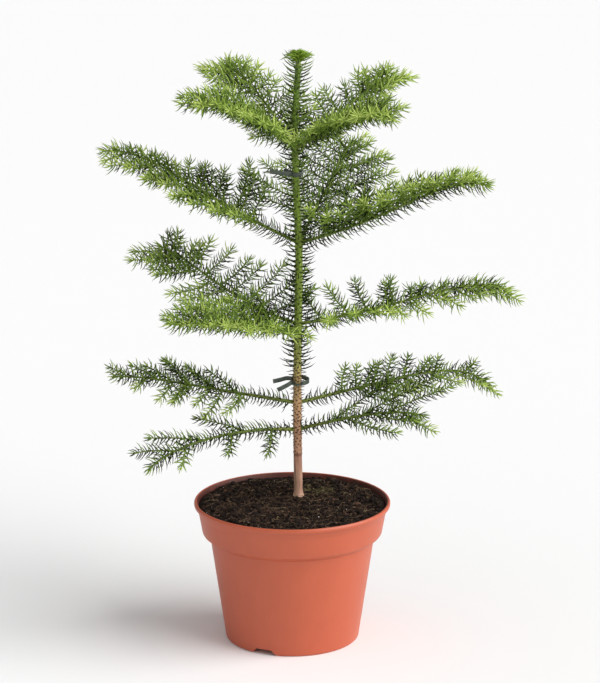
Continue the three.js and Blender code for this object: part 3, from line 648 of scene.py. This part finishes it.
BOUGHS = [
    dict(whorl="crown", side="front_left", seed=42, azimuth=212, length=110, rise=37, arch=-15,
         droop=38, roll=-15, taper=0.6),
    dict(whorl="crown", side="back_left", seed=29, azimuth=129, length=119, rise=45, arch=-22, droop=20,
         roll=-15, favour=0.3, taper=0.6, fan=(95, 60), lift=8),
    dict(whorl="crown", side="back_right", seed=51, azimuth=35, length=120, rise=30, arch=0, droop=34,
         roll=10, taper=0.6, fan=(95, 50)),
    dict(whorl="crown", side="front_right", seed=29, azimuth=-33, length=103, rise=30, arch=-10,
         droop=35, roll=10, taper=0.6, fan=(95, 55)),
    dict(whorl="upper", side="left", seed=48, azimuth=174, length=187, rise=24, arch=15, droop=52,
         roll=-22, sag=32, skew=-10, favour=0.5, bare=0.22, twig=54, fan=(92, 55), lift=22),
    dict(whorl="upper", side="right", seed=50, azimuth=-16, length=176, rise=17, arch=20, droop=55,
         roll=0, bare=0.15, lift=32),
    dict(whorl="upper", side="back", seed=25, azimuth=72, length=170, rise=23, arch=0, droop=10, roll=0,
         bare=0.25, twig=78, fan=(84, 52), lift=14),
    dict(whorl="middle", side="back_left", seed=44, azimuth=152, length=150, rise=10, arch=33, droop=35,
         roll=-20, skew=-8, favour=0.3, pairs=9, twig=60, taper=0.5, fan=(105, 78)),
    dict(whorl="middle", side="front_left", seed=8, azimuth=214, length=131, height=272, rise=10,
         arch=0, droop=5, roll=-14, favour=-0.4, twig=46, taper=0.2, lift=18),
    dict(whorl="middle", side="right", seed=53, azimuth=4, length=187, rise=8, arch=15, droop=55,
         roll=15, sag=85, skew=5, bare=0.1, pairs=7, twig=50, taper=0.4, fall=0.7, fan=(124, 35),
         lift=40),
    dict(whorl="lower", side="left", seed=20, azimuth=168, length=166, rise=6, arch=2, droop=15,
         roll=-26, skew=20, favour=-0.2, bare=0.28, pairs=5, twig=42, fan=(65, 55), lift=4),
    dict(whorl="lower", side="right", seed=4, azimuth=12, length=180, rise=11, arch=0, droop=72,
         roll=22, skew=12, favour=-0.3, pairs=6, twig=40, fan=(68, 50)),
    dict(whorl="lowest", side="left", seed=36, azimuth=202, length=142, rise=9, arch=-30, droop=20,
         roll=-26, skew=15, favour=-0.3, bare=0.17, twig=48, taper=0.4, fan=(60, 45), lift=6),
    dict(whorl="lowest", side="right", seed=25, azimuth=-22, length=120, rise=20, arch=-10, droop=25,
         roll=30, favour=0.2, bare=0.28, pairs=3, twig=74, taper=0.45, fan=(38, 32), lift=-5),
]
STEM_TIP = 0.9
STEM_LEAD = 4
LIMB_SHARE = 0.8
LIMB_SIDES = 16
LIMB_ROOT = 1.5
SOCKET_SWELL, SOCKET_LENGTH = 0.9, 4
LIMB_CUSHION_STEP, LIMB_CUSHION_TALL, LIMB_CUSHION_WIDE, LIMB_CUSHION_RISE = 0.65, 1.5, 0.7, 0.2
LIMB_TINTS = [(170, (126, 136, 60)), (240, (120, 136, 54)), (280, (110, 132, 44)), (440, (114, 140, 46))]


def heading_at(bough, share):
    """Which way the limb runs: it rises, arches over its whole length and droops at the tip."""
    rise = math.radians(bough["rise"] + bough["arch"] * share - bough["droop"] * share ** 6)
    azimuth = math.radians(bough["azimuth"])
    level = math.cos(rise)
    return np.array([level * math.cos(azimuth), level * math.sin(azimuth), math.sin(rise)])


def course_of(bough, steps=96):
    """The limb's centre line, from the trunk's axis to the tip."""
    points = [np.array([trunk_x(bough["height"]), TRUNK_Y, bough["height"]])]
    for i in range(steps):
        points.append(points[-1] + heading_at(bough, (i + 0.5) / steps) * bough["length"] / steps)
    return np.array(points)


def course_at(course, share):
    """The point at a share of the course's length."""
    place = min(max(share, 0), 1) * (len(course) - 1)
    i = min(int(place), len(course) - 2)
    return course[i] + (course[i + 1] - course[i]) * (place - i)


def girth_at(bough, share):
    """The limb's radius at a share of its length."""
    return LIMB_SHARE * (bough["girth"] + (STEM_TIP - bough["girth"]) * share)


limb_tubes = []
limb_cushions = []
for i, given in enumerate(BOUGHS):
    bough = {"skew": 0, "sag": 0, "favour": 0, **WHORLS[given["whorl"]], **given}
    BOUGHS[i] = bough
    bough["course"] = course_of(bough)
    length = bough["length"]
    bough["end"] = bough["bare"] - STEM_LEAD / length
    bough["node"] = bough["whorl"] + "_" + bough["side"]
    shares = np.linspace(LIMB_ROOT / length, bough["end"] + 1 / length, int(bough["end"] * length * 2))
    radii = np.array([girth_at(bough, share) for share in shares])
    radii += SOCKET_SWELL * np.exp(-shares * length / SOCKET_LENGTH)
    path = np.array([course_at(bough["course"], share) for share in shares])
    corners, faces = tube(path, radii, LIMB_SIDES)
    along = np.append(np.repeat(shares * length, LIMB_SIDES), (0, shares[-1] * length))
    around = np.append(np.tile(2 * np.pi * np.arange(LIMB_SIDES) / LIMB_SIDES, len(shares)), (0, 0))
    places = np.arange(4, shares[-1] * length, LIMB_CUSHION_STEP)
    relief = cushion_relief(
        around, along, np.full(len(along), 1.7), places, GOLDEN_TURN * np.arange(len(places)),
        LIMB_CUSHION_TALL, LIMB_CUSHION_WIDE, np.ones(len(places)),
    )
    relief[-2:] = 0
    centre = np.append(np.repeat(path, LIMB_SIDES, axis=0), path[[0, -1]], axis=0)
    away = corners - centre
    away /= np.maximum(np.linalg.norm(away, axis=1), 1e-6)[:, None]
    limb_tubes.append((corners + away * (LIMB_CUSHION_RISE * relief)[:, None], faces))
    limb_cushions.append(relief)
corners, faces = stacked(limb_tubes)
limbs = joined("bough_bark", corners, faces, bark("bough_bark", LIMB_TINTS, 160, 460, (104, 112, 50)))
cushion_marks = limbs.data.attributes.new("cushion", "FLOAT", "POINT")
cushion_marks.data.foreach_set("value", np.concatenate(limb_cushions))
on_plant(limbs, "bough", *["bough_" + bough["node"] for bough in BOUGHS])


# Sprays: each bough runs on as a stem with soft twigs on both sides, set flat like a feather.
# All are clothed in short curved needles, dark inside, partly for their age and partly as painted shade, and
# young and bright at the tips. Needles that point up and twigs that point to the front get brighter tints,
# as painted light, and a few boughs darker tints, as painted shade.
TWIG_GIRTH, TWIG_TIP = 0.75, 0.4
NEEDLE_TINTS = {
    "deep": (41, 55, 16), "leaf": (106, 132, 52), "fresh": (148, 174, 76), "young": (190, 210, 112),
}
TINT_STEPS = (0.4, 0.68, 0.95)
FULL_SPRAYS = {
    "crown_front_left": (0.2, 1), "crown_front_right": (0.2, 1),
    "crown_back_left": (0.5, 1), "crown_back_right": (0.7, 1),
    "upper_left": (0.1, 0.8), "upper_right": (0.1, 1),
    "middle_front_left": (0.2, 1), "middle_back_left": (0.72, 1), "middle_right": (0.2, 1),
    "lower_left": (0.1, 0.6), "lower_right": (0, 0.45),
}
NEEDLE_LENGTHS = {"crown": 11.4, "upper": 11, "middle": 11, "lower": 9.6, "lowest": 9.4}
LIMB_NEEDLE_LENGTHS = {"crown": 12, "upper": 13, "middle": 12.5, "lower": 10, "lowest": 9.6}
FRESHNESS = {"crown": 0.52, "upper": 0.46, "middle": 0.5, "lower": 0.4, "lowest": 0.3}
# Painted shade: the needles of these boughs are dealt darker tints.
SPRAY_SHADE = {"crown_back_right": 0.06, "middle_back_left": 0.08, "middle_right": 0.05, "upper_back": 0.08}
LIMB_NEEDLES = dict(density=1.6, lean=94, curl=48, blunt=True)
STEM_NEEDLES = dict(density=1.7, lean=86, curl=48)
TWIG_NEEDLES = dict(density=1.3, lean=76, curl=40, comb=0.22)
NEEDLE_WIDTH = 1.12
TIP_ZONE, YOUNG_ZONE = 7, 18
TRUNK_GAP = 7


def chance(draw, seed):
    """A number from 0 to 1 that is always the same for the same draw and seed."""
    value = math.sin(draw * 12.9898 + seed * 78.233) * 43758.5453
    return value - math.floor(value)


def scatter(draw, seed):
    """The same from -1 to 1."""
    return 2 * chance(draw, seed) - 1


def twig_plan(bough, draw, between):
    """Where a twig leaves its stem and how it grows. Even draws stand on the left."""
    side = 1 if draw % 2 == 0 else -1
    seed = bough["seed"] + (500 if between else 0)
    place = (draw // 2 + (0 if side > 0 else 0.5) + 0.2 * scatter(draw, seed)) / bough["pairs"]
    place += 0.5 / bough["pairs"] if between else 0
    share = min(max(place, 0), 1)
    spot = bough["bare"] + (0.965 - bough["bare"]) * share
    along = heading_at(bough, spot)
    azimuth = math.radians(bough["azimuth"])
    across = np.array([-math.sin(azimuth), math.cos(azimuth), 0]) * side
    above = np.cross(along, across) * side
    lift = bough["lift"] + bough["roll"] * side - bough["sag"] * share + 8 * scatter(draw + 100, seed)
    lift = math.radians(lift)
    fan = bough["fan"][0] + (bough["fan"][1] - bough["fan"][0]) * share + bough["skew"] * side
    fan += 8 * scatter(draw + 50, seed)
    length = bough["twig"] * (1 - share ** bough["fall"] * (1 - bough["taper"]))
    length *= min(1, 0.8 + 3 * share) * (1 + 0.15 * scatter(draw + 150, seed)) * (0.85 if between else 1)
    length *= 1 + bough["favour"] * side * share
    out = across * math.cos(lift) + above * math.sin(lift)
    crest = above * math.cos(lift) - across * math.sin(lift)
    return dict(root=course_at(bough["course"], spot), along=along, out=out, crest=crest, fan=fan,
                length=length, share=share)


def twig_course(plan, curl, length, steps=14):
    """A twig's centre line, which curls from its fan angle towards its stem's heading."""
    points = [plan["root"]]
    for i in range(steps):
        angle = math.radians(plan["fan"] - curl * (i + 0.5) / steps)
        step = math.cos(angle) * plan["along"] + math.sin(angle) * plan["out"]
        points.append(points[-1] + step * length / steps)
    return np.array(points)


def clear_of_trunk(points):
    """Whether a twig keeps its distance from the trunk past its first two points."""
    return all(
        math.hypot(x - trunk_x(min(max(z, TRUNK_FOOT), TRUNK_TOP)), y - TRUNK_Y) > TRUNK_GAP
        for x, y, z in points[2:]
    )


def needle_roots(path, crest, start, density, seed, comb=0.0):
    """Spots that wind up a twig by the golden turn, and how far each is from the tip.

    Comb parts them to both sides.
    """
    steps = np.linalg.norm(np.diff(path, axis=0), axis=1)
    marks = np.concatenate([[0], np.cumsum(steps)])
    count = max(int((marks[-1] - start) * density), 1)
    spots = start + (np.arange(count) + 0.5) / density
    centre = np.stack([np.interp(spots, marks, path[:, k]) for k in range(3)], axis=1)
    heading = np.gradient(path, axis=0)
    along = np.stack([np.interp(spots, marks, heading[:, k]) for k in range(3)], axis=1)
    along /= np.linalg.norm(along, axis=1)[:, None]
    top = crest - along * (along @ crest)[:, None]
    top /= np.linalg.norm(top, axis=1)[:, None]
    side = np.cross(along, top)
    turn = GOLDEN_TURN * np.arange(count) + seed
    turn = turn + comb * np.sin(2 * turn)
    out = np.cos(turn)[:, None] * top + np.sin(turn)[:, None] * side
    return centre, along, out, marks[-1] - spots


NEEDLE_RINGS = np.array([0, 0.3, 0.68])
NEEDLE_SWELL = np.array([0.9, 1, 0.7])
NEEDLE_SECTION = np.array([(0.5, 0), (-0.28, 0.42), (-0.28, -0.42)])


def needle_mesh(root, along, out, length, lean, curl, width):
    """Awl-shaped needles, three-sided, that bend from their lean towards the twig's tip."""
    count = len(root)
    side = np.cross(along, out)
    lean, curl = np.radians(lean), np.radians(curl)

    def reach(s):
        bend = lean - curl * s
        forward = (np.sin(lean) - np.sin(bend)) / curl
        outward = (np.cos(bend) - np.cos(lean)) / curl
        return root + length[:, None] * (forward[:, None] * along + outward[:, None] * out)

    corners = np.empty((count, 10, 3))
    for ring, (s, swell) in enumerate(zip(NEEDLE_RINGS, NEEDLE_SWELL)):
        bend = lean - curl * s
        back = np.cos(bend)[:, None] * out - np.sin(bend)[:, None] * along
        centre = reach(s)
        for k, (deep, wide) in enumerate(NEEDLE_SECTION):
            corners[:, 3 * ring + k] = centre + (width * swell)[:, None] * (deep * back + wide * side)
    corners[:, 9] = reach(1.0)
    pattern = []
    for ring in range(2):
        for k in range(3):
            a, b = 3 * ring + k, 3 * ring + (k + 1) % 3
            pattern += [(a, b, b + 3), (a, b + 3, a + 3)]
    pattern += [(6 + k, 6 + (k + 1) % 3, 9) for k in range(3)]
    faces = np.array(pattern)[None] + 10 * np.arange(count)[:, None, None]
    return corners.reshape(-1, 3), faces.reshape(-1, 3)


def clothe(store, whorl, path, crest, start, size, fresh, seed, density, lean, curl, comb=0.0, blunt=False):
    """Needles along one twig or stem, dealt out by tint to the whorl's store. A blunt one has no tip."""
    root, along, out, left = needle_roots(path, crest, start, density, seed, comb)
    draws = np.random.default_rng(int(seed * 1000) % 100003)
    count = len(root)
    near_tip = np.clip(1 - left / TIP_ZONE, 0, 1) * (not blunt)
    youth = np.clip(1 - left / YOUNG_ZONE, 0, 1) * (not blunt)
    length = size * draws.uniform(0.78, 1.16, count) * (1 - 0.45 * near_tip)
    leans = (lean + draws.uniform(-13, 13, count)) * (1 - 0.62 * near_tip)
    root = root + out * (0.4 + 0.04 * (size - 10))
    # Painted light and shade: needles that point up are dealt brighter tints and those that point down
    # darker ones; youth and a random spread set the rest.
    mood = fresh + (0.2 + 0.55 * fresh) * youth + 0.14 * out[:, 2] + draws.uniform(-0.26, 0.26, count)
    tints = np.digitize(mood, TINT_STEPS)
    for index, tint in enumerate(NEEDLE_TINTS):
        mine = tints == index
        if mine.any():
            store.setdefault((whorl, tint), []).append(needle_mesh(
                root[mine], along[mine], out[mine], length[mine], leans[mine],
                np.full(mine.sum(), float(curl)), np.full(mine.sum(), NEEDLE_WIDTH),
            ))


needle_store = {}
twig_store = {}
up = np.array([0, 0, 1.0])
for bough in BOUGHS:
    whorl = bough["whorl"]
    wood = twig_store.setdefault(whorl, [])
    shares = np.linspace(bough["end"], 1, int(bough["length"] / 4))
    stem = np.array([course_at(bough["course"], share) for share in shares])
    wood.append(tube(stem, [girth_at(bough, share) for share in shares], 8))
    # The whorl's freshness, less the painted shade of a few boughs.
    fresh = FRESHNESS[whorl] - SPRAY_SHADE.get(bough["node"], 0)
    base = np.array([course_at(bough["course"], share) for share in np.linspace(0.02, bough["bare"], 40)])
    # Needles on the bare limb near the trunk are dealt much darker tints, partly for their age and partly as
    # painted shade; those on the stem are a little darker.
    clothe(needle_store, whorl, base, up, 3, LIMB_NEEDLE_LENGTHS[whorl], fresh - 0.22,
           bough["seed"] + 0.5, **LIMB_NEEDLES)
    clothe(needle_store, whorl, stem, up, 3, NEEDLE_LENGTHS[whorl] + 1.2, fresh - 0.05,
           bough["seed"] + 0.6, **STEM_NEEDLES)
    for between, draw in [(b, d) for b in (False, True) for d in range(2 * bough["pairs"])]:
        plan = twig_plan(bough, draw, between)
        full_from, full_to = FULL_SPRAYS.get(bough["node"], (1, 0))
        if between and not full_from <= plan["share"] <= full_to:
            continue
        for part in (1, 0.75, 0.5):
            path = twig_course(plan, bough["curl"], plan["length"] * part)
            if clear_of_trunk(path):
                break
        else:
            continue
        wood.append(tube(path, np.linspace(TWIG_GIRTH, TWIG_TIP, len(path)), 6))
        # Painted light and shade: twigs that point to the front are dealt brighter tints and those that
        # point back darker ones.
        toward_front = -plan["out"][1]
        spray = fresh + 0.12 * toward_front + 0.12 * scatter(draw + 300, bough["seed"])
        clothe(needle_store, whorl, path, plan["crest"], 1.5, NEEDLE_LENGTHS[whorl], spray,
               bough["seed"] + 0.07 * draw + 40 * between, **TWIG_NEEDLES)


def plain(name, colour, roughness, shine=0.5):
    """A material of one plain colour."""
    material = bpy.data.materials.new(name)
    material.use_nodes = True
    shader = material.node_tree.nodes["Principled BSDF"]
    shader.inputs["Base Color"].default_value = srgb(*colour)
    shader.inputs["Roughness"].default_value = roughness
    shader.inputs["Specular IOR Level"].default_value = shine
    return material


twig_skin = mottled("twig_skin", srgb(94, 112, 42), srgb(128, 148, 58), 300, 0.6)
needle_skins = {
    tint: plain("needle_" + tint, colour, 0.55, shine=0.12) for tint, colour in NEEDLE_TINTS.items()
}
for whorl, wood in twig_store.items():
    corners, faces = stacked(wood)
    twigs = joined("twigs_" + whorl, corners, faces, twig_skin)
    on_plant(twigs, "needles", *["foliage_" + b["node"] for b in BOUGHS if b["whorl"] == whorl])
for (whorl, tint), parts in needle_store.items():
    corners, faces = stacked(parts)
    needles = joined("needles_" + whorl + "_" + tint, corners, faces, needle_skins[tint])
    on_plant(needles, "needles", *["foliage_" + b["node"] for b in BOUGHS if b["whorl"] == whorl])


# Trunk needles and leader: the green part of the trunk keeps its needles, and brown stubs stand below them.
# At the tip they crowd into a flared, bright green rosette that hides the growing point.
NEEDLED_FROM, NEEDLED_TO = 236, 507
TRUNK_NEEDLE_SHARE = 0.6
TRUNK_NEEDLE_LENGTH, TRUNK_NEEDLE_WIDTH, TRUNK_NEEDLE_ROOT = 14, 1.35, 2.2
TIE_ROOM = 3
STUBS_FROM, STUBS_TO = 176, 238
STUBS_PER_MM, STUB_WIDTH, STUB_ROOT = 1.7, 0.95, 3.0
TIP_FROM, TIP_TO = 502, 508.5
TIP_NEEDLES_PER_MM, TIP_NEEDLE_WIDTH = 13, 1.7
EAST = np.array([1.0, 0, 0])
axis_heights = np.arange(NEEDLED_FROM, NEEDLED_TO, 3.0)
axis = np.array([(trunk_x(min(height, TRUNK_TOP)), TRUNK_Y, height) for height in axis_heights])
root, along, out, _ = needle_roots(axis, EAST, 0, TRUNK_NEEDLE_SHARE * TRUNK_CUSHIONS_PER_MM, 0)
draws = np.random.default_rng(5)
keep = np.array([min(abs(z - tie[1]) for tie in TIES) > TIE_ROOM for z in root[:, 2]])
root, along, out = root[keep], along[keep], out[keep]
count = len(root)
root = root + out * TRUNK_NEEDLE_ROOT
climb = (root[:, 2] - NEEDLED_FROM) / 260
length = TRUNK_NEEDLE_LENGTH * draws.uniform(0.85, 1.12, count)
lean = 92 - 8 * np.clip((climb - 0.7) / 0.3, 0, 1) + draws.uniform(-8, 8, count)
curl = 40 + draws.uniform(-6, 10, count)
# Trunk needles are dealt dark tints, as painted shade under the boughs, with brighter ones higher up.
tints = np.digitize(0.16 + 0.3 * climb + draws.uniform(-0.12, 0.12, count), TINT_STEPS)
for index, tint in enumerate(NEEDLE_TINTS):
    mine = tints == index
    if mine.any():
        corners, faces = needle_mesh(
            root[mine], along[mine], out[mine], length[mine], lean[mine], curl[mine],
            np.full(mine.sum(), TRUNK_NEEDLE_WIDTH),
        )
        needles = joined("needles_trunk_" + tint, corners, faces, needle_skins[tint])
        on_plant(needles, "needles")

stub_heights = np.arange(STUBS_FROM, STUBS_TO, 1.5)
stub_axis = np.array([(trunk_x(height), TRUNK_Y, height) for height in stub_heights])
root, along, out, _ = needle_roots(stub_axis, EAST, 0, STUBS_PER_MM, 2)
count = len(root)
length = draws.uniform(2.5, 4.5, count) + 4 * np.clip((root[:, 2] - 215) / 25, 0, 1)
lean = draws.uniform(80, 108, count)
curl = draws.uniform(10, 40, count)
root = root + out * STUB_ROOT
corners, faces = needle_mesh(root, along, out, length, lean, curl, np.full(count, STUB_WIDTH))
stubs = joined("needle_stubs", corners, faces, plain("dry_needle", (66, 56, 36), 0.7))
on_plant(stubs, "needles")

tip_axis = np.array([(trunk_x(TRUNK_TOP), TRUNK_Y, height) for height in np.arange(TIP_FROM, TIP_TO, 1.0)])
root, along, out, _ = needle_roots(tip_axis, EAST, 0, TIP_NEEDLES_PER_MM, 1)
count = len(root)
inner = np.linspace(0, 1, count)
length = (16.5 - 10.5 * inner) * draws.uniform(0.88, 1.08, count)
lean = 36 - 20 * inner + draws.uniform(-6, 6, count)
curl = -84 + 30 * inner + draws.uniform(-12, 12, count)
root = root + out * (1.4 * (1 - inner))[:, None]
corners, faces = needle_mesh(root, along, out, length, lean, curl, np.full(count, TIP_NEEDLE_WIDTH))
rosette = joined("leader_rosette", corners, faces, plain("needle_leader", (132, 162, 56), 0.5, shine=0.2))
on_plant(rosette, "needles", "leader")
shoot_path = [(trunk_x(TRUNK_TOP), TRUNK_Y, height) for height in (496, 500, 504, 508)]
corners, faces = tube(shoot_path, [2.4, 2.3, 2, 1.2], 12)
shoot = joined("leader_shoot", corners, faces, twig_skin)
on_plant(shoot, "needles", "leader")


# Studio: a plain pale floor, flat under the plant and swept gently up far away, like a paper backdrop.
# A soft white sky and two broad lights, the stronger from the right. The camera looks slightly down.
FLOOR_SIZE, FLOOR_GRID = 60, 120
SWEEP_START, SWEEP_END, SWEEP_RISE = 6, 30, 3.2
bpy.ops.object.select_all(action="DESELECT")
bpy.ops.mesh.primitive_grid_add(x_subdivisions=FLOOR_GRID, y_subdivisions=FLOOR_GRID, size=FLOOR_SIZE)
floor = bpy.context.object
floor.name = "studio_floor"
for corner in floor.data.vertices:
    away = math.hypot(corner.co.x, corner.co.y)
    climb = min(max((away - SWEEP_START) / (SWEEP_END - SWEEP_START), 0), 1)
    corner.co.z = SWEEP_RISE * climb ** 2
bpy.ops.object.shade_smooth()
floor.data.materials.append(plain("studio_white", (247, 247, 247), 0.9))

sky = bpy.data.worlds.new("studio_sky")
sky.use_nodes = True
sky.node_tree.nodes["Background"].inputs["Color"].default_value = (1, 1, 1, 1)
sky.node_tree.nodes["Background"].inputs["Strength"].default_value = 0.24
bpy.context.scene.world = sky


def soft_light(name, azimuth, height, spread, power):
    """Even light from far off, as wide across the sky as a large lamp box."""
    lamp = bpy.data.lights.new(name, "SUN")
    lamp.angle = math.radians(spread)
    lamp.energy = power
    light = bpy.data.objects.new(name, lamp)
    light.rotation_euler = (math.radians(90 - height), 0, math.radians(azimuth + 90))
    bpy.context.collection.objects.link(light)


soft_light("key_right", -18, 30, 60, 3.7)
soft_light("top_soft", -100, 60, 120, 0.85)

view = bpy.data.cameras.new("photo_view")
view.lens = 140
camera = bpy.data.objects.new("photo_view", view)
camera.location = (6.75 * MM, -2200 * MM, 810 * MM)
camera.rotation_euler = (math.radians(90 - 13.94), 0, 0)
bpy.context.collection.objects.link(camera)
bpy.context.scene.camera = camera
bpy.context.scene.view_settings.view_transform = "Standard"
